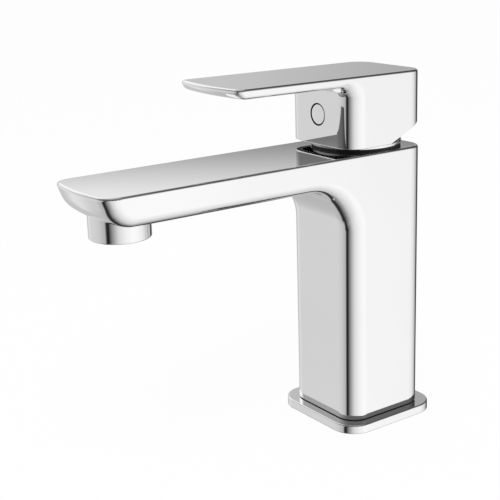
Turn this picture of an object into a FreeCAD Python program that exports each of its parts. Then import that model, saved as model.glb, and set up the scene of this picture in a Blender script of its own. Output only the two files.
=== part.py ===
import FreeCAD, Part
import math
import os

# Single-lever basin mixer. Millimetres, +Z up, origin on the column's axis at deck level.
# The spout and the lever point along -Y.

# Cartridge pocket and column
cartridge_radius = 17.4
water_gap = 1.2
body_wall = 2.4
column_corner = 8.5

# Base plate and what seals it
plate_border = 4.4
plate_corner = 10.5
plate_thickness = 3.8
plate_edge = 0.6
joint_seal_thickness = 0.4
joint_seal_inset = 0.35
gasket_thickness = 1.0
gasket_width = 2.4
collar_height = 4.0
collar_wall = 3.1

# Heights inside the column, from the bottom up
hose_cavity_depth = 61.8
hose_cavity_wall = 3.8
partition_thickness = 16.0
base_height = 6.0
fixed_disc_thickness = 3.5
moving_disc_thickness = 4.0
carrier_thickness = 4.65
tongue_height = 2.85
rotor_flange_thickness = 4.35
shoulder_thickness = 5.0
housing_flange_thickness = 3.5
housing_neck_height = 5.0
nut_thread_length = 7.0

# Spout
spout_reach = 134.2
spout_thickness = 12.75
spout_rise_angle = 0.55
spout_bend_radius = 19.0
spout_tip_radius = 12.0
spout_tip_lean = 21.0
spout_tip_bow = 100.0
spout_tip_corner = 6.8
spout_tip_edge = 5.0
spout_bend_edge = 5.0
top_edge = 1.0
channel_height = 7.0
channel_roof = 2.6
channel_side_wall = 5.0
duct_width = 22.0

# Inlets and fixing stud, with threads cut at their core radius
inlet_core_radius = 4.5
inlet_depth = 10.0
inlet_spacing = 16.0
stud_core_radius = 3.4
stud_depth = 12.0
stud_offset = 9.5
port_radius = 2.4
port_half_spacing = 5.0
port_front = 3.5
outlet_radius = 2.8
outlet_rear = 5.0
peg_radius = 1.5
peg_length = 3.0
peg_half_spacing = 11.0
peg_rear = 8.0

# Cartridge pieces
housing_wall = 2.8
housing_neck_wall = 1.4
rotor_shelf = 3.1
fixed_disc_gap = 1.4
moving_disc_gap = 0.6
disc_rest_offset = 3.0
mixing_pocket_radius = 5.0
mixing_pocket_depth = 2.0
mixing_pocket_offset = 2.0
tongue_width = 12.0
tongue_inset = 2.0
pin_radius = 2.0
pin_inset = 0.5
pin_below_flange = 0.45
stem_width = 8.0
stem_arm_length = 14.5
stem_arm_radius = 2.2
stem_ball_radius = 2.6
stem_height = 28.0
lift_angle = 24.0
seal_section = 0.75
seal_thickness = 1.2
seal_width = 1.7

# Nut and dome at the neck
nut_bore_gap = 0.4
nut_collar_inset = 1.2
nut_collar_height = 1.7
nut_hex_inset = 3.4
nut_hex_height = 1.5
dome_lap = 0.5
dome_wall = 1.8
dome_rim = 0.9
dome_seal_thickness = 1.4
dome_seal_inset = 0.2
dome_gap = 0.3

# Lever
lever_inset = 0.4
lever_gap = 2.45
lever_height = 29.5
lever_reach = 76.3
lever_thickness = 4.0
lever_rise_angle = 0.86
lever_corner = 8.2
lever_bend_radius = 4.5
lever_tip_radius = 4.2
lever_tip_lean = 20.0
lever_tip_bow = 100.0
lever_tip_corner = 3.4
lever_tip_edge = 1.8
lever_bend_edge = 1.8
lever_foot_edge = 0.4
lever_slant_start = 1.0
lever_wall = 3.0
lever_roof = 4.5
lever_cavity_corner = 5.0
lever_boss_radius = 7.5
lever_boss_clearance = 16.0
socket_depth_spare = 0.5

# Set screw and its cover
plug_height = 12.7
plug_radius = 4.15
plug_depth = 3.2
plug_shank_radius = 2.2
plug_shank_length = 2.2
plug_proud = 0.15
plug_edge = 0.2
plug_crown_radius = 26.0
plug_groove = 0.55
plug_groove_depth = 0.9
screw_radius = 2.5
screw_length = 8.0
screw_key_flats = 2.5
screw_key_depth = 3.0

# Aerator
aerator_reach = 115.8
aerator_drop = 7.55
aerator_recess = 3.4
aerator_barrel_radius = 11.95
aerator_neck_radius = 10.9
aerator_wall = 0.9
aerator_lip = 1.0
aerator_edge = 0.5
aerator_washer_thickness = 0.8
aerator_neck_length = 3.5
insert_height = 5.0
insert_hole_radius = 0.8
insert_hole_pitch = 2.2
regulator_height = 2.6
regulator_hole_radius = 1.0
regulator_hole_count = 12
screen_thickness = 0.5
screen_hole_radius = 0.7
screen_hole_pitch = 2.0

# Clearances
slip = 0.1
snug = 0.05
running = 0.1
moving = 0.3
film = 0.05
overcut = 1.0

# Sizes that follow
pocket_radius = cartridge_radius + water_gap
column_half = pocket_radius + body_wall
column_bottom = plate_thickness + joint_seal_thickness
hose_cavity_radius = column_half - hose_cavity_wall
cavity_top = column_bottom + hose_cavity_depth
seat = cavity_top + partition_thickness
disc_seat = seat + base_height
fixed_disc_top = disc_seat + fixed_disc_thickness
moving_disc_bottom = fixed_disc_top + film
carrier_bottom = moving_disc_bottom + moving_disc_thickness
carrier_top = carrier_bottom + carrier_thickness
tongue_top = carrier_top + tongue_height
rotor_bottom = carrier_top + moving
rotor_shoulder = rotor_bottom + rotor_flange_thickness
housing_shoulder = rotor_shoulder + running
flange_bottom = housing_shoulder + shoulder_thickness
flange_top = flange_bottom + housing_flange_thickness
body_top = flange_top + nut_thread_length
pivot = flange_top - pin_below_flange
housing_neck_top = flange_top + housing_neck_height
rotor_top = housing_neck_top + 2 * moving
housing_bore = cartridge_radius - housing_wall
rotor_radius = housing_bore - rotor_shelf
fixed_disc_radius = housing_bore - fixed_disc_gap
moving_disc_radius = housing_bore - disc_rest_offset - moving_disc_gap
tongue_length = 2 * (moving_disc_radius - tongue_inset)
pin_length = 2 * (rotor_radius - pin_inset)
rotor_bore = rotor_radius + running
rotor_flange_radius = housing_bore - moving
spout_slope = math.tan(math.radians(spout_rise_angle))
outlet_underside = body_top + aerator_reach * spout_slope - spout_thickness
dome_radius = pocket_radius + dome_lap
dome_seat = body_top - dome_radius * spout_slope - snug
dome_bottom = dome_seat + dome_seal_thickness
lever_bottom = body_top + lever_gap
lever_half = column_half - lever_inset
lever_top = lever_bottom + lever_height
lever_slope = math.tan(math.radians(lever_rise_angle))
dome_side_top = lever_bottom - dome_gap
dome_sphere = math.hypot(dome_radius, dome_side_top - pivot)
nut_collar_radius = pocket_radius - nut_collar_inset
nut_hex_flats = 2 * (nut_collar_radius - nut_hex_inset)
dome_opening_radius = nut_collar_radius - dome_rim
plug_center = lever_bottom + plug_height
stem_top = pivot + stem_height
ball_center = pivot - stem_arm_length
aerator_bottom = outlet_underside - aerator_drop
aerator_seat = outlet_underside + aerator_recess
aerator_shoulder = aerator_seat - aerator_washer_thickness
aerator_top = aerator_seat + aerator_neck_length
aerator_bore = aerator_neck_radius - aerator_wall
axis_x = FreeCAD.Vector(1, 0, 0)
axis_y = FreeCAD.Vector(0, 1, 0)
axis_z = FreeCAD.Vector(0, 0, 1)


def rod(radius, bottom, top, x=0.0, y=0.0):
    """Upright cylinder."""
    return Part.makeCylinder(radius, top - bottom, FreeCAD.Vector(x, y, bottom), axis_z)


def tube(outer, inner, bottom, top, x=0.0, y=0.0):
    """Upright cylinder with a bore."""
    return rod(outer, bottom, top, x, y).cut(rod(inner, bottom - overcut, top + overcut, x, y))


def rod_along_y(radius, start, end, height):
    """Cylinder on the centre plane that runs along Y."""
    return Part.makeCylinder(radius, end - start, FreeCAD.Vector(0, start, height), axis_y)


def block(half_x, front, rear, bottom, top):
    """Box that is centred on X."""
    corner = FreeCAD.Vector(-half_x, front, bottom)
    return Part.makeBox(2 * half_x, rear - front, top - bottom, corner)


def hexagon(flats, bottom, top):
    """Upright six-sided prism."""
    reach = flats / math.sqrt(3)
    turns = [math.radians(60 * step) for step in range(7)]
    points = [FreeCAD.Vector(reach * math.cos(turn), reach * math.sin(turn), bottom) for turn in turns]
    return Part.Face(Part.makePolygon(points)).extrude(axis_z * (top - bottom))


def rounded_block(half_x, half_y, corner, bottom, top):
    """Upright prism with a rounded rectangle as its outline."""
    prism = block(half_x, -half_y, half_y, bottom, top)
    upright = [edge for edge in prism.Edges if edge.BoundBox.ZLength > (top - bottom) / 2]
    return prism.makeFillet(corner, upright)


def hole_field(radius, pitch, reach, bottom, top, x, y):
    """Upright holes on a triangular grid, as far as they fit inside a circle."""
    rows = int(reach / pitch) + 1
    holes = []
    for row in range(-rows, rows + 1):
        for column in range(-rows, rows + 1):
            across = (column + 0.5 * (row % 2)) * pitch
            along = row * pitch * math.sqrt(3) / 2
            if math.hypot(across, along) + radius < reach:
                holes.append(rod(radius, bottom, top, x + across, y + along))
    return holes


def rounded(shape, points, stations):
    """Fillets on the edges nearest to some points, with each end's radius from the nearest station."""
    document = FreeCAD.newDocument("rounding")
    base = document.addObject("Part::Feature", "base")
    base.Shape = shape
    fillet = document.addObject("Part::Fillet", "fillet")
    fillet.Base = base
    chosen = []
    for point in points:
        vertex = Part.Vertex(point)
        gaps = [edge.distToShape(vertex)[0] for edge in shape.Edges]
        number = gaps.index(min(gaps))
        edge = shape.Edges[number]
        radii = []
        for end in (edge.valueAt(edge.FirstParameter), edge.valueAt(edge.LastParameter)):
            nearest = min(stations, key=lambda station: station[0].distanceToPoint(end))
            radii.append(nearest[1])
        chosen.append((number + 1, radii[0], radii[1]))
    fillet.Edges = chosen
    document.recompute()
    result = fillet.Shape.copy()
    FreeCAD.closeDocument(document.Name)
    return result


def around(center, radius, angle):
    """Point on a circle in the YZ plane."""
    return center + FreeCAD.Vector(0, radius * math.cos(angle), radius * math.sin(angle))


def halfway(start, end):
    """Point halfway between two points."""
    return (start + end) * 0.5


def bent_slab(half, tip, top_at, under_at, slope, bend, nose, foot, radii):
    """Block with a slab that reaches forward from its top.

    The slab's underside runs into the block's front through an arc. nose holds the radius under the tip, the
    angle by which its front leans back and the radius of its bow. foot holds the block's lower outline from
    front to rear, as y and z. radii holds the radius of the block's corners, of the slab's lower edges at the
    bend and at the tip, and of the tip's corners.
    """
    tip_round, tip_lean, bow = nose
    corner, bend_edge, tip_edge, tip_corner = radii
    lean = math.atan(slope)
    tilt = math.radians(tip_lean)
    front = foot[0][0]
    rear = foot[-1][0]
    start = -tip - overcut

    def at(y, z):
        return FreeCAD.Vector(-half, y, z)

    bend_y = front - bend
    bend_center = at(bend_y, under_at(bend_y) - bend / math.cos(lean))
    bend_low = around(bend_center, bend, 0)
    bend_middle = around(bend_center, bend, math.pi / 4 - lean / 2)
    bend_high = around(bend_center, bend, math.pi / 2 - lean)
    rear_top = at(rear, top_at(rear))
    corners = [bend_low] + [at(y, z) for y, z in foot]
    corners += [rear_top, at(start, top_at(start)), at(start, under_at(start)), bend_high]
    outline = [Part.LineSegment(first, second) for first, second in zip(corners, corners[1:])]
    outline.append(Part.Arc(bend_high, bend_middle, bend_low))
    form = Part.Face(Part.Wire([piece.toShape() for piece in outline])).extrude(axis_x * (2 * half))

    lift = tip_round / math.cos(lean)
    drop = top_at(-tip) - under_at(0) - lift
    tip_y = (tip_round / math.cos(tilt) - tip + drop * math.tan(tilt)) / (1 - slope * math.tan(tilt))
    tip_center = FreeCAD.Vector(0, tip_y, under_at(tip_y) + lift)
    tip_top = FreeCAD.Vector(0, -tip, top_at(-tip))
    tip_high = around(tip_center, tip_round, math.pi + tilt)
    tip_middle = around(tip_center, tip_round, (5 * math.pi / 2 + tilt - lean) / 2)
    tip_low = around(tip_center, tip_round, 3 * math.pi / 2 - lean)
    axis_point = FreeCAD.Vector(0, bow - tip, tip_low.z)
    axis_way = FreeCAD.Vector(0, math.sin(lean), math.cos(lean))
    above = tip_top + (tip_top - tip_high).normalize() * (2 * overcut)
    below = tip_low - axis_z * overcut
    outer = bow - tip - math.hypot(half, bow + overcut) - 2 * overcut
    edges = [below, FreeCAD.Vector(0, outer, below.z), FreeCAD.Vector(0, outer, above.z), above, tip_high]
    meridian = [Part.LineSegment(first, second) for first, second in zip(edges, edges[1:])]
    meridian += [Part.Arc(tip_high, tip_middle, tip_low), Part.LineSegment(tip_low, below)]
    waste = Part.Face(Part.Wire([piece.toShape() for piece in meridian]))
    spread = 2 * math.degrees(math.asin(half / bow))
    waste.rotate(axis_point, axis_way, -spread)
    form = form.cut(waste.revolve(axis_point, axis_way, 2 * spread))

    def beside(point):
        behind = axis_point.y - point.y
        return at(axis_point.y - math.sqrt(behind ** 2 - half ** 2), point.z)

    side_top = beside(tip_top)
    side_high = beside(tip_high)
    side_low = beside(tip_low)
    stations = [
        (corners[1], corner), (bend_low, corner), (bend_high, bend_edge), (side_low, tip_edge),
        (side_high, tip_corner), (side_top, tip_corner), (rear_top, corner), (at(*foot[-1]), corner),
    ]
    points = [
        halfway(corners[1], bend_low), bend_middle, halfway(side_low, bend_high), beside(tip_middle),
        halfway(side_top, side_high), halfway(at(*foot[-1]), rear_top),
    ]
    form = rounded(form, points + [point + axis_x * (2 * half) for point in points], stations)
    roof = max(form.Faces, key=lambda face: face.CenterOfMass.z)
    return form.makeFillet(top_edge, roof.OuterWire.Edges)


def spout_top_at(y):
    """Height of the sloping top of the column and spout."""
    return body_top - y * spout_slope


def spout_under_at(y):
    """Height of the spout's underside."""
    return spout_top_at(y) - spout_thickness


def lever_top_at(y):
    """Height of the lever's sloping top."""
    return lever_top - y * lever_slope


def lever_under_at(y):
    """Height of the lever's underside."""
    return lever_top_at(y) - lever_thickness


def water_channel():
    """Mixed water's way from the pocket, through the bend, to the aerator's socket."""
    roof = body_top - channel_roof
    floor = roof - channel_height
    ledge = aerator_top + slip
    inner = pocket_radius - stem_width
    bend_end = column_half + spout_bend_radius / 2
    duct_roof = flange_bottom - overcut
    boss_rear = aerator_reach - aerator_barrel_radius - overcut
    end = aerator_reach + aerator_bore
    slant = (roof - duct_roof) / (bend_end - pocket_radius)
    entry = duct_roof - slant * stem_width
    side = [
        (-inner, entry - channel_height),
        (-bend_end, floor),
        (-bend_end - overcut, floor),
        (-bend_end - overcut, roof),
        (-bend_end, roof),
        (-inner, entry),
    ]
    points = [FreeCAD.Vector(-duct_width / 2, y, z) for y, z in side]
    duct = Part.Face(Part.makePolygon(points + points[:1])).extrude(axis_x * duct_width)
    half = column_half - channel_side_wall
    run = block(half, -boss_rear, -bend_end, floor, roof)
    tail = block(aerator_bore, -end, -boss_rear + overcut, ledge, roof)
    return duct.fuse([run, tail])


def body_casting():
    """Column and spout in one casting, hollow from below and from the top."""
    nose = (spout_tip_radius, spout_tip_lean, spout_tip_bow)
    radii = (column_corner, spout_bend_edge, spout_tip_edge, spout_tip_corner)
    foot = [(-column_half, column_bottom), (column_half, column_bottom)]
    form = bent_slab(
        column_half, spout_reach, spout_top_at, spout_under_at, spout_slope,
        spout_bend_radius, nose, foot, radii,
    )
    spare = lever_gap
    cuts = [
        rod(hose_cavity_radius, column_bottom - overcut, cavity_top),
        rod(pocket_radius, seat, body_top + spare),
        rod(dome_radius + slip, dome_seat, body_top + spare),
        rod(stud_core_radius, cavity_top - overcut, cavity_top + stud_depth, 0, stud_offset),
        rod(aerator_neck_radius + slip, aerator_seat - overcut, aerator_top + slip, 0, -aerator_reach),
        rod(aerator_barrel_radius + snug, aerator_bottom, aerator_seat, 0, -aerator_reach),
        water_channel(),
    ]
    for side in (-1, 1):
        socket_x = side * inlet_spacing / 2
        socket_top = cavity_top + inlet_depth
        cuts.append(rod(inlet_core_radius, cavity_top - overcut, socket_top, socket_x, -port_front))
        cuts.append(rod(port_radius, socket_top - overcut, seat + overcut,
                        side * port_half_spacing, -port_front))
        cuts.append(rod(peg_radius + slip, seat - peg_length - slip, seat + overcut,
                        side * peg_half_spacing, peg_rear))
    return form.cut(cuts)


def base_plate():
    """Square foot with a collar that centres the column."""
    half = column_half + plate_border
    slab = rounded_block(half, half, plate_corner, 0, plate_thickness)
    roof = max(slab.Faces, key=lambda face: face.CenterOfMass.z)
    slab = slab.makeFillet(plate_edge, roof.OuterWire.Edges)
    collar = hose_cavity_radius - slip
    top = column_bottom + collar_height
    slab = slab.fuse(rod(collar, plate_thickness / 2, top))
    groove = tube(column_half, column_half - gasket_width, -overcut, gasket_thickness)
    return slab.cut([rod(collar - collar_wall, -overcut, top + overcut), groove])


def plate_seal():
    """Thin seal under the column's foot."""
    half = column_half - joint_seal_inset
    sheet = rounded_block(half, half, column_corner - joint_seal_inset, plate_thickness, column_bottom)
    return sheet.cut(rod(hose_cavity_radius, 0, column_bottom + overcut))


def deck_gasket():
    """Ring in the plate's underside, flush with the deck."""
    return tube(column_half - slip, column_half - gasket_width + slip, 0, gasket_thickness)


def port_places():
    """Axes of the two inlet ports and of the outlet port."""
    inlets = [(side * port_half_spacing, -port_front, port_radius) for side in (-1, 1)]
    return inlets + [(0.0, outlet_rear, outlet_radius)]


def cartridge_base():
    """Round foot of the cartridge with its ports, side outlet and pegs."""
    foot = rod(cartridge_radius, seat, disc_seat)
    cuts = []
    for x, y, radius in port_places():
        recess = radius + seal_width
        cuts.append(rod(recess, disc_seat - seal_thickness, disc_seat + overcut, x, y))
        bottom = seat + base_height / 3
        if y < 0:
            bottom = seat - overcut
            cuts.append(rod(recess, seat - overcut, seat + seal_thickness, x, y))
        cuts.append(rod(radius, bottom, disc_seat + overcut, x, y))
    window_top = disc_seat - 2 * seal_thickness
    window_rear = cartridge_radius + overcut
    window = block(outlet_radius, outlet_rear, window_rear, seat + base_height / 3, window_top)
    foot = foot.cut(cuts + [window])
    pegs = [rod(peg_radius, seat - peg_length, seat + seal_thickness, side * peg_half_spacing, peg_rear)
            for side in (-1, 1)]
    return foot.fuse(pegs)


def port_seals(bottom, places):
    """Rubber rings around the ports."""
    rings = [tube(radius + seal_width - snug, radius, bottom, bottom + seal_thickness, x, y)
             for x, y, radius in places]
    return Part.makeCompound(rings)


def inlet_seals():
    """Rings between the cartridge and its seat in the casting."""
    return port_seals(seat, port_places()[:2])


def disc_seals():
    """Rings under the fixed disc."""
    return port_seals(disc_seat - seal_thickness, port_places())


def fixed_disc():
    """Ceramic disc that stands on the cartridge's foot."""
    disc = rod(fixed_disc_radius, disc_seat, fixed_disc_top)
    return disc.cut([rod(radius, disc_seat - overcut, fixed_disc_top + overcut, x, y)
                     for x, y, radius in port_places()])


def moving_disc():
    """Ceramic disc that slides on the fixed one and mixes in its pocket."""
    disc = rod(moving_disc_radius, moving_disc_bottom, carrier_bottom, 0, disc_rest_offset)
    pocket_top = moving_disc_bottom + mixing_pocket_depth
    pocket_y = disc_rest_offset + mixing_pocket_offset
    pocket = rod(mixing_pocket_radius, moving_disc_bottom - overcut, pocket_top, 0, pocket_y)
    return disc.cut(pocket)


def disc_carrier():
    """Driver on the moving disc, with a tongue above and a hole for the stem's ball."""
    plate = rod(moving_disc_radius - moving, carrier_bottom, carrier_top, 0, disc_rest_offset)
    tongue_front = disc_rest_offset - tongue_length / 2
    tongue_rear = disc_rest_offset + tongue_length / 2
    tongue = block(tongue_width / 2, tongue_front, tongue_rear, carrier_top - overcut, tongue_top)
    hole = rod(stem_ball_radius + moving, carrier_bottom - overcut, tongue_top + overcut)
    reach = stem_ball_radius + moving
    slot = block(reach, -reach, stem_arm_radius + reach, carrier_top, tongue_top + overcut)
    return plate.fuse(tongue).cut([hole, slot])


def rotor():
    """Turning core that guides the carrier and carries the pivot pin."""
    core = rod(rotor_radius, rotor_bottom, rotor_top)
    core = core.fuse(rod(rotor_flange_radius, rotor_bottom, rotor_shoulder))
    groove = block(tongue_width / 2 + moving, -rotor_flange_radius - overcut, rotor_flange_radius + overcut,
                   rotor_bottom - overcut, tongue_top + moving)
    tilt = math.radians(lift_angle)
    above = rotor_top - pivot
    below = pivot - rotor_bottom
    rear = stem_width / 2 / math.cos(tilt) + above * math.tan(tilt) + 2 * moving
    front = stem_arm_radius / math.cos(tilt) + below * math.tan(tilt) + 2 * moving
    slot = block(stem_width / 2 + moving, -front, rear, rotor_bottom - overcut, rotor_top + overcut)
    return core.cut([groove, slot, cross_rod(pin_radius + snug, 2 * rotor_radius)])


def cross_rod(radius, length):
    """Cylinder along X through the pivot."""
    return Part.makeCylinder(radius, length, FreeCAD.Vector(-length / 2, 0, pivot), axis_x)


def pivot_pin():
    """Pin that the stem tilts on."""
    return cross_rod(pin_radius, pin_length)


def stem():
    """Square stem with an arm and ball below its pivot."""
    half = stem_width / 2
    square = block(half, -half, half, pivot - half - overcut, stem_top)
    arm = rod(stem_arm_radius, ball_center, pivot)
    ball = Part.makeSphere(stem_ball_radius, FreeCAD.Vector(0, 0, ball_center))
    return square.fuse([arm, ball]).cut(cross_rod(pin_radius + running, 2 * stem_width))


def cartridge_housing():
    """Shell around the discs and the rotor, with a flange for the nut."""
    shell = tube(cartridge_radius, housing_bore, disc_seat, housing_shoulder)
    shoulder = tube(cartridge_radius, rotor_bore, housing_shoulder, flange_bottom)
    flange = tube(pocket_radius - 2 * slip, rotor_bore, flange_bottom, flange_top)
    neck = tube(rotor_bore + housing_neck_wall, rotor_bore, flange_top, housing_neck_top)
    middle = (flange_bottom + flange_top) / 2
    groove = tube(pocket_radius, pocket_radius - 2 * seal_section - 2 * slip,
                  middle - seal_section - slip, middle + seal_section + slip)
    return shell.fuse([shoulder, flange, neck]).removeSplitter().cut(groove)


def housing_seal():
    """O-ring in the housing's flange."""
    middle = (flange_bottom + flange_top) / 2
    ring = pocket_radius - seal_section - slip
    return Part.makeTorus(ring, seal_section, FreeCAD.Vector(0, 0, middle), axis_z)


def retaining_nut():
    """Ring nut that clamps the cartridge, with a collar that holds the dome and a six-sided top."""
    inner = rotor_bore + housing_neck_wall + nut_bore_gap
    collar_top = dome_seat + nut_collar_height
    hex_top = collar_top + nut_hex_height
    thread = rod(pocket_radius - slip, flange_top, dome_seat)
    collar = rod(nut_collar_radius, dome_seat, collar_top)
    top = hexagon(nut_hex_flats, collar_top, hex_top)
    return thread.fuse([collar, top]).cut(rod(inner, flange_top - overcut, hex_top + overcut))


def dome_ring():
    """Bright dome around the neck, round about the pivot so that the lever can tilt over it."""
    center = FreeCAD.Vector(0, 0, pivot)
    top = pivot + dome_sphere
    side = rod(dome_radius, dome_bottom, top).common(Part.makeSphere(dome_sphere, center))
    bore = rod(nut_collar_radius + snug, dome_bottom - overcut, top)
    hollow = bore.common(Part.makeSphere(dome_sphere - dome_wall, center))
    return side.cut([hollow, rod(dome_opening_radius, dome_bottom, top + overcut)])


def dome_seal():
    """Black ring between the dome and the casting."""
    return tube(dome_radius - dome_seal_inset, nut_collar_radius + snug, dome_seat, dome_bottom)


def lever_handle():
    """Hollow lever that covers the neck, with a boss for the stem."""
    tilt = math.tan(math.radians(lift_angle))
    rear_foot = lever_bottom + (lever_half - lever_slant_start) * tilt
    foot = [(-lever_half, lever_bottom), (lever_slant_start, lever_bottom), (lever_half, rear_foot)]
    nose = (lever_tip_radius, lever_tip_lean, lever_tip_bow)
    radii = (lever_corner, lever_bend_edge, lever_tip_edge, lever_tip_corner)
    form = bent_slab(
        lever_half, lever_reach, lever_top_at, lever_under_at, lever_slope,
        lever_bend_radius, nose, foot, radii,
    )
    sole = min(form.Faces, key=lambda face: face.CenterOfMass.z)
    rim = [edge for edge in sole.OuterWire.Edges if edge.BoundBox.YMin < lever_slant_start - snug]
    form = form.makeFillet(lever_foot_edge, rim)
    ceiling = lever_top - lever_roof
    inside = lever_half - lever_wall
    cavity = rounded_block(inside, inside, lever_cavity_corner, pivot, ceiling)
    clearance = Part.makeSphere(dome_sphere + dome_gap + snug, FreeCAD.Vector(0, 0, pivot))
    form = form.cut([cavity, clearance])
    boss = rod(lever_boss_radius, pivot + lever_boss_clearance, ceiling + overcut)
    rib = rod_along_y(plug_radius + plug_groove, -lever_half + lever_wall / 2, 0, plug_center)
    hole = stem_width / 2 + slip
    outside = -lever_half - overcut
    plug_end = -lever_half + plug_depth + slip
    groove_end = -lever_half + plug_groove_depth
    cuts = [
        block(hole, -hole, hole, pivot, stem_top + socket_depth_spare),
        rod_along_y(screw_radius + snug, -lever_half, 0, plug_center),
        rod_along_y(plug_radius + slip, outside, plug_end, plug_center),
        rod_along_y(plug_radius + plug_groove, outside, groove_end, plug_center),
    ]
    return form.fuse([boss, rib]).cut(cuts)


def set_screw():
    """Screw in the lever that clamps the stem."""
    end = -stem_width / 2
    start = end - screw_length
    screw = rod_along_y(screw_radius, start, end, plug_center)
    key = hexagon(screw_key_flats, 0, screw_key_depth + overcut)
    key.rotate(FreeCAD.Vector(0, 0, 0), axis_x, -90)
    key.translate(FreeCAD.Vector(0, start - overcut, plug_center))
    return screw.cut(key)


def index_plug():
    """Push-in button with a low dome, over the set screw."""
    crown = -lever_half - plug_proud
    seat_y = -lever_half + plug_depth
    dome = Part.makeSphere(plug_crown_radius, FreeCAD.Vector(0, crown + plug_crown_radius, plug_center))
    button = rod_along_y(plug_radius, crown - overcut, seat_y, plug_center).common(dome)
    rim = [edge for edge in button.Edges if edge.BoundBox.YMax < -lever_half + plug_groove_depth]
    button = button.makeFillet(plug_edge, rim)
    shank = rod_along_y(plug_shank_radius, seat_y - overcut, seat_y + plug_shank_length, plug_center)
    return button.fuse(shank)


def aerator_shell():
    """Round outlet barrel that screws into the spout."""
    barrel = rod(aerator_barrel_radius, aerator_bottom, aerator_shoulder, 0, -aerator_reach)
    rim = [edge for edge in barrel.Edges if edge.BoundBox.ZMax < aerator_bottom + snug]
    barrel = barrel.makeFillet(aerator_edge, rim)
    neck = rod(aerator_neck_radius, aerator_shoulder - overcut, aerator_top, 0, -aerator_reach)
    bore = rod(aerator_bore, aerator_bottom + aerator_lip, aerator_top + overcut, 0, -aerator_reach)
    mouth = rod(aerator_bore - aerator_lip, aerator_bottom - overcut, aerator_top, 0, -aerator_reach)
    return barrel.fuse(neck).cut([bore, mouth])


def aerator_washer():
    """Seal between the barrel's shoulder and the spout."""
    return tube(aerator_barrel_radius - snug, aerator_neck_radius + snug,
                aerator_shoulder, aerator_seat, 0, -aerator_reach)


def aerator_insert():
    """Flow straightener at the outlet."""
    bottom = aerator_bottom + aerator_lip
    top = bottom + insert_height
    disc = rod(aerator_bore - slip, bottom, top, 0, -aerator_reach)
    reach = aerator_bore - aerator_lip
    return disc.cut(hole_field(insert_hole_radius, insert_hole_pitch, reach, bottom - overcut,
                               top + overcut, 0, -aerator_reach))


def flow_regulator():
    """Disc with a ring of jets above the straightener."""
    bottom = aerator_bottom + aerator_lip + insert_height
    top = bottom + regulator_height
    disc = rod(aerator_bore - slip, bottom, top, 0, -aerator_reach)
    circle = aerator_bore - 3 * aerator_lip
    jets = []
    for step in range(regulator_hole_count):
        turn = 2 * math.pi * step / regulator_hole_count
        jets.append(rod(regulator_hole_radius, bottom - overcut, top + overcut,
                        circle * math.cos(turn), circle * math.sin(turn) - aerator_reach))
    return disc.cut(jets)


def aerator_screen():
    """Fine screen on top of the regulator."""
    bottom = aerator_bottom + aerator_lip + insert_height + regulator_height
    top = bottom + screen_thickness
    disc = rod(aerator_bore - slip, bottom, top, 0, -aerator_reach)
    reach = aerator_bore - aerator_lip
    return disc.cut(hole_field(screen_hole_radius, screen_hole_pitch, reach, bottom - overcut,
                               top + overcut, 0, -aerator_reach))


pieces = [
    body_casting, base_plate, plate_seal, deck_gasket,
    cartridge_base, inlet_seals, disc_seals, fixed_disc, moving_disc, disc_carrier,
    rotor, pivot_pin, stem, cartridge_housing, housing_seal,
    retaining_nut, dome_ring, dome_seal,
    lever_handle, set_screw, index_plug,
    aerator_shell, aerator_washer, aerator_insert, flow_regulator, aerator_screen,
]

os.makedirs("parts", exist_ok=True)
for piece in pieces:
    shape = piece()
    shape.exportStep("parts/" + piece.__name__ + ".step")
    print(piece.__name__, len(shape.Solids), round(shape.Volume, 1), shape.isValid())
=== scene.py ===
import math

import bpy
from mathutils import Matrix, Vector

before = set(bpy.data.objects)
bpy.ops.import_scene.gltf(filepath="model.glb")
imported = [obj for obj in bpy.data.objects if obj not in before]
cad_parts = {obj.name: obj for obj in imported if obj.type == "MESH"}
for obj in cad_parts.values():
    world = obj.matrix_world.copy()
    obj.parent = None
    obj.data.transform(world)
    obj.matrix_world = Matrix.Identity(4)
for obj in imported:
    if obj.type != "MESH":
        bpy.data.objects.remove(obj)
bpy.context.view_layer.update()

# Camera, in metres, degrees and millimetres of lens
CAMERA_PLACE = Vector((0.362193, -0.309799, 0.214897))
CAMERA_AZIMUTH = 55.0605
CAMERA_ELEVATION = 16.4620
CAMERA_ROLL = -1.8133
CAMERA_LENS = 81.377
CAMERA_SENSOR = 36.0

# Places on the pieces, in metres
HOSE_CAVITY_RADIUS = 0.0178
HOSE_CAVITY_TOP = 0.0665
FOOT_BORE_RADIUS = 0.0165
FOOT_SOLE = 0.0002
LEVER_HOLLOW = 0.0180
LEVER_CEILING = 0.1485
LEVER_SOLE = 0.12292
PLUG_HEIGHT = 0.1356
PLUG_GROOVE_RADIUS = 0.00474
PLUG_GROOVE_MIDDLE = -0.0202
PLUG_GROOVE_DEPTH = 0.0012

# Chrome, the raw metal that shows where the plating is missing, and the lever's near-black painted
# shade
CHROME_TONE = (0.975, 0.975, 0.975, 1.0)
THIN_PLATING = (0.978, 0.978, 0.978, 1.0)
PLATING_CLOUD = 30.0
PLATING_SPAN = (0.3, 0.7)
WIPE_CLOUD = 90.0
WIPE_SPAN = (0.35, 0.75)
LEAST_HAZE = 0.015
CASTING_HAZE = 0.045
FOOT_HAZE = 0.05
TRIM_HAZE = 0.06
RAW_CASTING = (0.70, 0.56, 0.32, 1.0)
RAW_ZINC = (0.50, 0.51, 0.52, 1.0)
# Near-black painted shade for the lever's hollow, underside and plug groove, standing in for shadow
# there
LEVER_PAINTED_SHADE = (0.012, 0.012, 0.013, 1.0)

# Moulded and turned surfaces
FLOW_CLOUD = 160.0
FLOW_SPAN = (0.35, 0.7)
GRAIN_SPAN = (0.3, 0.7)
GRAIN_ROUGHNESS = (-0.06, 0.10)
GRAIN_DEPTH = 0.0001
STAIN_CLOUD = 220.0
STAIN_SPAN = (0.40, 0.75)
STAIN_ROUGHNESS = (0.20, 0.34)
RIDGE_ROUGHNESS = 0.05
RIDGE_DEPTH = 0.00002
RIDGE_STRENGTH = 0.15

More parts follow.
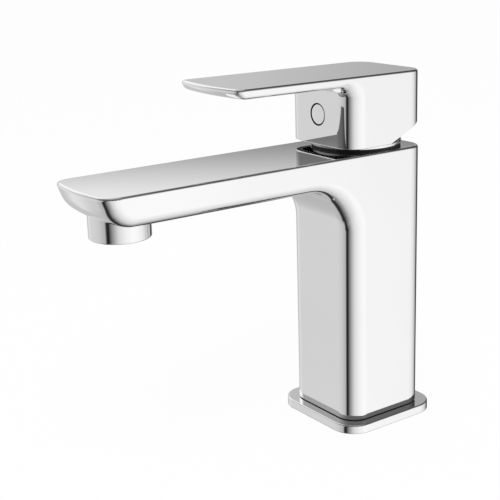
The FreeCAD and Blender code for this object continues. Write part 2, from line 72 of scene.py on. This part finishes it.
# Floor and lamps
FLOOR_SPAN = 12.0
FLOOR_PAINT = (0.93, 0.93, 0.93, 1.0)
FLOOR_ROUGHNESS = 0.8
FLOOR_LIFT = 0.95
PLAIN_LEVEL = 0.66
KEY_PLACE = Vector((0.7, -0.6, 1.3))
KEY_SIZE = 0.9
KEY_POWER = 11.0
WHITE = (1.0, 1.0, 1.0, 1.0)

# The surround seen in the chrome, as rings of soft screens at rising heights.
# Each stop is an azimuth in degrees, from the front (-Y) towards +X, and a level.
TENT_SEAM = 120.0
FULL_TURN = 360.0
TENT_LEAN = -25.0
WALL_SCREENS = (
    (120.0, 0.98),
    (145.0, 0.85),
    (170.0, 0.50),
    (181.0, 0.05),
    (195.0, 0.05),
    (210.0, 0.20),
    (235.0, 0.56),
    (268.0, 0.57),
    (282.0, 0.78),
    (305.0, 0.66),
    (325.0, 0.66),
    (350.0, 0.60),
    (372.0, 0.45),
    (378.0, 0.02),
    (386.0, 0.02),
    (392.0, 0.17),
    (418.0, 0.70),
    (440.0, 0.88),
    (465.0, 0.98),
)
EAVES_SCREENS = (
    (120.0, 0.50),
    (140.0, 0.10),
    (215.0, 0.20),
    (243.0, 0.25),
    (252.0, 0.10),
    (290.0, 0.18),
    (345.0, 0.12),
    (372.0, 0.02),
    (450.0, 0.02),
)
ROOF_SCREENS = (
    (120.0, 0.90),
    (130.0, 0.90),
    (140.0, 0.35),
    (175.0, 0.05),
    (205.0, 0.05),
    (225.0, 0.75),
    (250.0, 0.90),
    (290.0, 0.95),
    (318.0, 0.50),
    (345.0, 0.25),
    (372.0, 0.02),
    (450.0, 0.02),
)
CEILING_SCREENS = (
    (120.0, 0.15),
    (175.0, 0.05),
    (205.0, 0.05),
    (230.0, 0.45),
    (250.0, 0.95),
    (290.0, 0.95),
    (300.0, 0.40),
    (345.0, 0.20),
    (372.0, 0.12),
    (450.0, 0.12),
)
ZENITH_TONE = (0.42, 0.42, 0.42, 1.0)

# Below, one dark strip runs under the part, and each stop is an angle in degrees from it and a level
STRIP_AZIMUTH = 22.0
UNDER_TONES = (
    (-90.0, 0.65),
    (-25.0, 0.50),
    (-13.0, 0.45),
    (-8.0, 0.04),
    (2.0, 0.02),
    (6.0, 0.07),
    (20.0, 0.32),
    (36.0, 0.63),
    (60.0, 0.85),
    (90.0, 0.97),
)

# Elevations in degrees between which one ring gives way to the next
UNDER_EDGE = (-40.0, -28.0)
EAVES_EDGE = (7.2, 9.5)
ROOF_EDGE = (11.7, 15.4)
ROOF_TILT = 2.0
ROOF_TILT_AZIMUTH = 235.0
CEILING_EDGE = (17.5, 21.5)
ZENITH_EDGE = (56.0, 70.0)


def link(tree, source, target):
    tree.links.new(source, target)


def set_or_link(tree, socket, value):
    if isinstance(value, (int, float, tuple)):
        socket.default_value = value
    else:
        link(tree, value, socket)


def add_node(tree, kind, **settings):
    node = tree.nodes.new(kind)
    for name, value in settings.items():
        setattr(node, name, value)
    return node


def math_node(tree, operation, *values, clamp=False):
    node = add_node(tree, "ShaderNodeMath", operation=operation, use_clamp=clamp)
    for socket, value in zip(node.inputs, values):
        set_or_link(tree, socket, value)
    return node.outputs[0]


def dot_product(tree, direction, axis):
    node = add_node(tree, "ShaderNodeVectorMath", operation="DOT_PRODUCT")
    link(tree, direction, node.inputs[0])
    node.inputs[1].default_value = axis
    return node.outputs["Value"]


def map_range(tree, value, from_low, from_high, to_low=0.0, to_high=1.0, soft=False):
    blend = "SMOOTHSTEP" if soft else "LINEAR"
    node = add_node(tree, "ShaderNodeMapRange", interpolation_type=blend)
    for socket, setting in zip(node.inputs, (value, from_low, from_high, to_low, to_high)):
        set_or_link(tree, socket, setting)
    return node.outputs[0]


def mixed(tree, factor, first, second, mode="MIX"):
    node = add_node(tree, "ShaderNodeMix", data_type="RGBA", blend_type=mode)
    set_or_link(tree, node.inputs["Factor"], factor)
    set_or_link(tree, node.inputs["A"], first)
    set_or_link(tree, node.inputs["B"], second)
    return node.outputs["Result"]


def mixed_shaders(tree, factor, first, second):
    node = add_node(tree, "ShaderNodeMixShader")
    link(tree, factor, node.inputs["Fac"])
    link(tree, first, node.inputs[1])
    link(tree, second, node.inputs[2])
    return node.outputs[0]


def open_background_rays(tree):
    rays = add_node(tree, "ShaderNodeLightPath").outputs
    mirrored = math_node(tree, "ADD", rays["Is Glossy Ray"], rays["Is Transmission Ray"])
    seen = math_node(tree, "ADD", rays["Is Camera Ray"], mirrored, clamp=True)
    return rays["Is Camera Ray"], seen


def grey(level):
    return (level, level, level, 1.0)


def grey_ramp(tree, angle, tones):
    low, high = tones[0][0], tones[-1][0]
    ramp = add_node(tree, "ShaderNodeValToRGB")
    stops = ramp.color_ramp.elements
    for place, level in tones[1:-1]:
        stops.new((place - low) / (high - low)).color = grey(level)
    stops[0].color = grey(tones[0][1])
    stops[len(stops) - 1].color = grey(tones[-1][1])
    link(tree, map_range(tree, angle, math.radians(low), math.radians(high)), ramp.inputs["Fac"])
    return ramp.outputs["Color"]


def ring_of_screens(tree, direction, screens):
    split = add_node(tree, "ShaderNodeSeparateXYZ")
    link(tree, direction, split.inputs[0])
    front = math_node(tree, "MULTIPLY", split.outputs["Y"], -1.0)
    heading = math_node(tree, "ARCTAN2", split.outputs["X"], front)
    seam_end = TENT_SEAM + FULL_TURN
    once_round = math_node(tree, "WRAP", heading, math.radians(seam_end), math.radians(TENT_SEAM))
    return grey_ramp(tree, once_round, screens + ((seam_end, screens[0][1]),))


def tones_under(tree, leaned):
    strip = math.radians(STRIP_AZIMUTH)
    side = dot_product(tree, leaned, (math.cos(strip), math.sin(strip), 0.0))
    return grey_ramp(tree, math_node(tree, "ARCSINE", side), UNDER_TONES)


def blend_by_height(tree, height, edge, below, above):
    low, high = (math.sin(math.radians(angle)) for angle in edge)
    return mixed(tree, map_range(tree, height, low, high, soft=True), below, above)


def studio_surround():
    world = bpy.data.worlds.new("studio_surround")
    bpy.context.scene.world = world
    world.use_nodes = True
    tree = world.node_tree
    tree.nodes.clear()
    upright = add_node(tree, "ShaderNodeTexCoord").outputs["Generated"]
    lean = add_node(tree, "ShaderNodeVectorRotate", rotation_type="Y_AXIS")
    lean.inputs["Angle"].default_value = math.radians(TENT_LEAN)
    link(tree, upright, lean.inputs["Vector"])
    leaned = lean.outputs["Vector"]
    height = dot_product(tree, upright, (0.0, 0.0, 1.0))
    tilt = math.radians(ROOF_TILT)
    towards = math.radians(ROOF_TILT_AZIMUTH)
    roof_up = (math.sin(tilt) * math.sin(towards), -math.sin(tilt) * math.cos(towards), math.cos(tilt))
    roof_height = dot_product(tree, upright, roof_up)
    walls = ring_of_screens(tree, leaned, WALL_SCREENS)
    eaves = ring_of_screens(tree, upright, EAVES_SCREENS)
    roof = ring_of_screens(tree, upright, ROOF_SCREENS)
    ceiling = ring_of_screens(tree, upright, CEILING_SCREENS)
    tone = blend_by_height(tree, height, EAVES_EDGE, walls, eaves)
    tone = blend_by_height(tree, roof_height, ROOF_EDGE, tone, roof)
    tone = blend_by_height(tree, height, CEILING_EDGE, tone, ceiling)
    tone = blend_by_height(tree, height, ZENITH_EDGE, tone, ZENITH_TONE)
    tone = blend_by_height(tree, height, UNDER_EDGE, tones_under(tree, leaned), tone)
    to_camera, seen = open_background_rays(tree)
    tent = add_node(tree, "ShaderNodeBackground")
    link(tree, mixed(tree, to_camera, tone, WHITE), tent.inputs["Color"])
    fill = add_node(tree, "ShaderNodeBackground")
    fill.inputs["Color"].default_value = WHITE
    fill.inputs["Strength"].default_value = PLAIN_LEVEL
    out = add_node(tree, "ShaderNodeOutputWorld")
    link(tree, mixed_shaders(tree, seen, fill.outputs[0], tent.outputs[0]), out.inputs["Surface"])


def pale_floor():
    bpy.ops.object.select_all(action="DESELECT")
    bpy.ops.mesh.primitive_plane_add(size=FLOOR_SPAN, location=(0.0, 0.0, 0.0))
    floor = bpy.context.object
    floor.name = "floor"
    paint = bpy.data.materials.new("floor_paint")
    paint.use_nodes = True
    tree = paint.node_tree
    matt = tree.nodes["Principled BSDF"]
    matt.inputs["Base Color"].default_value = FLOOR_PAINT
    matt.inputs["Roughness"].default_value = FLOOR_ROUGHNESS
    matt.inputs["Specular IOR Level"].default_value = 0.0
    glow = add_node(tree, "ShaderNodeEmission")
    clear = add_node(tree, "ShaderNodeBsdfTransparent")
    below = add_node(tree, "ShaderNodeNewGeometry").outputs["Backfacing"]
    _, seen = open_background_rays(tree)
    lift = math_node(tree, "MULTIPLY", seen, FLOOR_LIFT)
    lit = mixed_shaders(tree, lift, matt.outputs[0], glow.outputs[0])
    shown = mixed_shaders(tree, below, lit, clear.outputs[0])
    link(tree, shown, tree.nodes["Material Output"].inputs["Surface"])
    floor.data.materials.append(paint)
    floor.visible_glossy = False


def key_lamp():
    lamp = bpy.data.lights.new("key_lamp", "AREA")
    lamp.size = KEY_SIZE
    lamp.energy = KEY_POWER
    holder = bpy.data.objects.new("key_lamp", lamp)
    bpy.context.scene.collection.objects.link(holder)
    holder.location = KEY_PLACE
    holder.rotation_euler = KEY_PLACE.to_track_quat("Z", "Y").to_euler()
    holder.visible_glossy = False


def photo_camera():
    camera = bpy.data.cameras.new("camera")
    camera.lens = CAMERA_LENS
    camera.sensor_width = CAMERA_SENSOR
    holder = bpy.data.objects.new("camera", camera)
    bpy.context.scene.collection.objects.link(holder)
    turn = Matrix.Rotation(math.radians(CAMERA_AZIMUTH), 4, "Z")
    tip = Matrix.Rotation(math.radians(90.0 - CAMERA_ELEVATION), 4, "X")
    roll = Matrix.Rotation(math.radians(CAMERA_ROLL), 4, "Z")
    holder.matrix_world = Matrix.Translation(CAMERA_PLACE) @ turn @ tip @ roll
    bpy.context.scene.camera = holder


def shade_group(name, inputs, outputs):
    group = bpy.data.node_groups.new(name, "ShaderNodeTree")
    for label, kind, value in inputs:
        group.interface.new_socket(label, in_out="INPUT", socket_type=kind).default_value = value
    for label, kind in outputs:
        group.interface.new_socket(label, in_out="OUTPUT", socket_type=kind)
    given = add_node(group, "NodeGroupInput").outputs
    made = add_node(group, "NodeGroupOutput").inputs
    return group, given, made


def cloud(tree, scale, detail):
    noise = add_node(tree, "ShaderNodeTexNoise")
    link(tree, add_node(tree, "ShaderNodeTexCoord").outputs["Object"], noise.inputs["Vector"])
    noise.inputs["Detail"].default_value = detail
    set_or_link(tree, noise.inputs["Scale"], scale)
    return noise.outputs["Fac"]


def place_on_piece(tree):
    split = add_node(tree, "ShaderNodeSeparateXYZ")
    link(tree, add_node(tree, "ShaderNodeTexCoord").outputs["Object"], split.inputs[0])
    return split.outputs["X"], split.outputs["Y"], split.outputs["Z"]


def radius_of(tree, across, along):
    squares = [math_node(tree, "POWER", value, 2.0) for value in (across, along)]
    return math_node(tree, "SQRT", math_node(tree, "ADD", *squares))


def make_plating():
    group, given, made = shade_group(
        "polished_plating",
        (("Tone", "NodeSocketColor", (0.97, 0.97, 0.97, 1.0)), ("Haze", "NodeSocketFloat", 0.05)),
        (("Color", "NodeSocketColor"), ("Roughness", "NodeSocketFloat")),
    )
    depth = map_range(group, cloud(group, PLATING_CLOUD, 3.0), *PLATING_SPAN)
    thin = mixed(group, 1.0, given["Tone"], THIN_PLATING, "MULTIPLY")
    link(group, mixed(group, depth, thin, given["Tone"]), made["Color"])
    wiped = map_range(group, cloud(group, WIPE_CLOUD, 4.0), *WIPE_SPAN, LEAST_HAZE, given["Haze"])
    link(group, wiped, made["Roughness"])
    return group


def make_moulded_skin():
    group, given, made = shade_group(
        "moulded_skin",
        (
            ("Tone", "NodeSocketColor", (0.8, 0.8, 0.8, 1.0)),
            ("Flow Tone", "NodeSocketColor", (0.7, 0.7, 0.7, 1.0)),
            ("Grain", "NodeSocketFloat", 2500.0),
            ("Gloss Roughness", "NodeSocketFloat", 0.4),
        ),
        (("Color", "NodeSocketColor"), ("Roughness", "NodeSocketFloat"), ("Height", "NodeSocketFloat")),
    )
    flow = map_range(group, cloud(group, FLOW_CLOUD, 3.0), *FLOW_SPAN)
    link(group, mixed(group, flow, given["Tone"], given["Flow Tone"]), made["Color"])
    grain = cloud(group, given["Grain"], 2.0)
    uneven = map_range(group, grain, *GRAIN_SPAN, *GRAIN_ROUGHNESS)
    link(group, math_node(group, "ADD", given["Gloss Roughness"], uneven), made["Roughness"])
    link(group, grain, made["Height"])
    return group


def make_turning_marks():
    group, given, made = shade_group(
        "turning_marks",
        (
            ("Tone", "NodeSocketColor", (0.8, 0.6, 0.3, 1.0)),
            ("Worn Tone", "NodeSocketColor", (0.6, 0.45, 0.2, 1.0)),
            ("Pitch", "NodeSocketFloat", 0.0003),
        ),
        (("Color", "NodeSocketColor"), ("Roughness", "NodeSocketFloat"), ("Height", "NodeSocketFloat")),
    )
    across, along, up = place_on_piece(group)
    feed = math_node(group, "ADD", radius_of(group, across, along), up)
    turns = math_node(group, "DIVIDE", feed, given["Pitch"])
    ridge = math_node(group, "SINE", math_node(group, "MULTIPLY", turns, 2.0 * math.pi))
    height = map_range(group, ridge, -1.0, 1.0)
    stain = map_range(group, cloud(group, STAIN_CLOUD, 4.0), *STAIN_SPAN)
    link(group, mixed(group, stain, given["Tone"], given["Worn Tone"]), made["Color"])
    stained = map_range(group, stain, 0.0, 1.0, *STAIN_ROUGHNESS)
    ridged = map_range(group, height, 0.0, 1.0, 0.0, RIDGE_ROUGHNESS)
    link(group, math_node(group, "ADD", stained, ridged), made["Roughness"])
    link(group, height, made["Height"])
    return group


def new_finish(name, group, **settings):
    material = bpy.data.materials.new(name)
    material.use_nodes = True
    tree = material.node_tree
    effect = add_node(tree, "ShaderNodeGroup", node_tree=group)
    for label, value in settings.items():
        effect.inputs[label.replace("_", " ")].default_value = value
    return material, tree, tree.nodes["Principled BSDF"], effect.outputs


def raise_grain(tree, shader, height, strength, distance):
    bump = add_node(tree, "ShaderNodeBump")
    bump.inputs["Strength"].default_value = strength
    bump.inputs["Distance"].default_value = distance
    link(tree, height, bump.inputs["Height"])
    link(tree, bump.outputs["Normal"], shader.inputs["Normal"])


def chrome(name, plating, haze, raw_and_shade_mask=None, raw_and_shade_tone=None, raw_and_shade_rough=0.5, raw_and_shade_metal=1.0):
    material, tree, shader, effect = new_finish(name, plating, Tone=CHROME_TONE, Haze=haze)
    shader.inputs["Metallic"].default_value = 1.0
    color = effect["Color"]
    rough = effect["Roughness"]
    if raw_and_shade_mask:
        # The mask marks raw metal on the column and foot, and near-black painted shade on the lever
        mask = raw_and_shade_mask(tree)
        color = mixed(tree, mask, color, raw_and_shade_tone)
        rough = math_node(tree, "MAXIMUM", rough, math_node(tree, "MULTIPLY", mask, raw_and_shade_rough))
        if raw_and_shade_metal < 1.0:
            link(tree, map_range(tree, mask, 0.0, 1.0, 1.0, raw_and_shade_metal), shader.inputs["Metallic"])
    link(tree, color, shader.inputs["Base Color"])
    link(tree, rough, shader.inputs["Roughness"])
    return material


def inside_column(tree):
    across, along, up = place_on_piece(tree)
    in_bore = math_node(tree, "LESS_THAN", radius_of(tree, across, along), HOSE_CAVITY_RADIUS)
    below = math_node(tree, "LESS_THAN", up, HOSE_CAVITY_TOP)
    return math_node(tree, "MULTIPLY", in_bore, below)


def under_foot(tree):
    across, along, up = place_on_piece(tree)
    in_bore = math_node(tree, "LESS_THAN", radius_of(tree, across, along), FOOT_BORE_RADIUS)
    sole = math_node(tree, "LESS_THAN", up, FOOT_SOLE)
    return math_node(tree, "MAXIMUM", in_bore, sole)


# Where the lever gets painted shade: its hollow, its underside below the sole height and a ring at the
# plug groove
def lever_painted_shade_mask(tree):
    across, along, up = place_on_piece(tree)
    sides = [math_node(tree, "ABSOLUTE", value) for value in (across, along)]
    hollow = math_node(tree, "LESS_THAN", math_node(tree, "MAXIMUM", *sides), LEVER_HOLLOW)
    hollow = math_node(tree, "MULTIPLY", hollow, math_node(tree, "LESS_THAN", up, LEVER_CEILING))
    sole = math_node(tree, "LESS_THAN", up, LEVER_SOLE)
    reach = radius_of(tree, across, math_node(tree, "SUBTRACT", up, PLUG_HEIGHT))
    groove = math_node(tree, "LESS_THAN", reach, PLUG_GROOVE_RADIUS)
    from_groove = math_node(tree, "ABSOLUTE", math_node(tree, "SUBTRACT", along, PLUG_GROOVE_MIDDLE))
    at_front = math_node(tree, "LESS_THAN", from_groove, PLUG_GROOVE_DEPTH / 2)
    groove = math_node(tree, "MULTIPLY", groove, at_front)
    return math_node(tree, "MAXIMUM", math_node(tree, "MAXIMUM", hollow, sole), groove)


def moulded(name, skin, strength, **settings):
    material, tree, shader, effect = new_finish(name, skin, **settings)
    link(tree, effect["Color"], shader.inputs["Base Color"])
    link(tree, effect["Roughness"], shader.inputs["Roughness"])
    raise_grain(tree, shader, effect["Height"], strength, GRAIN_DEPTH)
    return material


def turned(name, marks, metallic, **settings):
    material, tree, shader, effect = new_finish(name, marks, **settings)
    shader.inputs["Metallic"].default_value = metallic
    link(tree, effect["Color"], shader.inputs["Base Color"])
    link(tree, effect["Roughness"], shader.inputs["Roughness"])
    raise_grain(tree, shader, effect["Height"], RIDGE_STRENGTH, RIDGE_DEPTH)
    return material


def dress(material, *names):
    for name in names:
        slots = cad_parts[name].data.materials
        slots.clear()
        slots.append(material)


def dress_plated(plating):
    column = chrome("column_chrome", plating, CASTING_HAZE, inside_column, RAW_CASTING, 0.45)
    dress(column, "body_casting")
    foot = chrome("foot_chrome", plating, FOOT_HAZE, under_foot, RAW_ZINC, 0.40)
    dress(foot, "base_plate")
    # The lever gets near-black painted shade on its hollow, underside and plug groove
    lever = chrome("lever_chrome", plating, CASTING_HAZE, lever_painted_shade_mask, LEVER_PAINTED_SHADE, 0.55, 0.0)
    dress(lever, "lever_handle")
    trim = chrome("trim_chrome", plating, TRIM_HAZE)
    dress(trim, "index_plug", "aerator_shell", "dome_ring")


def dress_moulded(skin):
    rubber = moulded(
        "black_rubber", skin, 0.35, Tone=(0.022, 0.022, 0.023, 1.0),
        Flow_Tone=(0.034, 0.034, 0.035, 1.0), Gloss_Roughness=0.58, Grain=3200.0,
    )
    dress(
        rubber, "plate_seal", "deck_gasket", "inlet_seals", "disc_seals",
        "housing_seal", "dome_seal", "aerator_washer",
    )
    acetal = moulded(
        "offwhite_acetal", skin, 0.15, Tone=(0.80, 0.80, 0.77, 1.0),
        Flow_Tone=(0.74, 0.74, 0.70, 1.0), Gloss_Roughness=0.38, Grain=2600.0,
    )
    dress(acetal, "cartridge_base", "cartridge_housing")
    core = moulded(
        "blue_grey_acetal", skin, 0.15, Tone=(0.16, 0.28, 0.46, 1.0),
        Flow_Tone=(0.12, 0.22, 0.38, 1.0), Gloss_Roughness=0.36, Grain=2600.0,
    )
    dress(core, "rotor", "disc_carrier")
    outlet = moulded(
        "white_outlet_plastic", skin, 0.08, Tone=(0.86, 0.87, 0.88, 1.0),
        Flow_Tone=(0.78, 0.80, 0.82, 1.0), Gloss_Roughness=0.24, Grain=2200.0,
    )
    dress(outlet, "aerator_insert", "flow_regulator")


def dress_turned(marks):
    alumina = turned(
        "lapped_alumina", marks, 0.0, Tone=(0.90, 0.89, 0.85, 1.0),
        Worn_Tone=(0.86, 0.84, 0.79, 1.0), Pitch=0.0007,
    )
    dress(alumina, "fixed_disc", "moving_disc")
    brass = turned(
        "turned_brass", marks, 1.0, Tone=(0.78, 0.62, 0.33, 1.0),
        Worn_Tone=(0.60, 0.44, 0.20, 1.0), Pitch=0.0004,
    )
    dress(brass, "retaining_nut", "stem")
    steel = turned(
        "plain_steel", marks, 1.0, Tone=(0.56, 0.57, 0.58, 1.0),
        Worn_Tone=(0.46, 0.47, 0.49, 1.0), Pitch=0.0003,
    )
    dress(steel, "pivot_pin", "set_screw", "aerator_screen")


dress_plated(make_plating())
dress_moulded(make_moulded_skin())
dress_turned(make_turning_marks())
studio_surround()
pale_floor()
key_lamp()
photo_camera()
bpy.context.scene.view_settings.view_transform = "Standard"
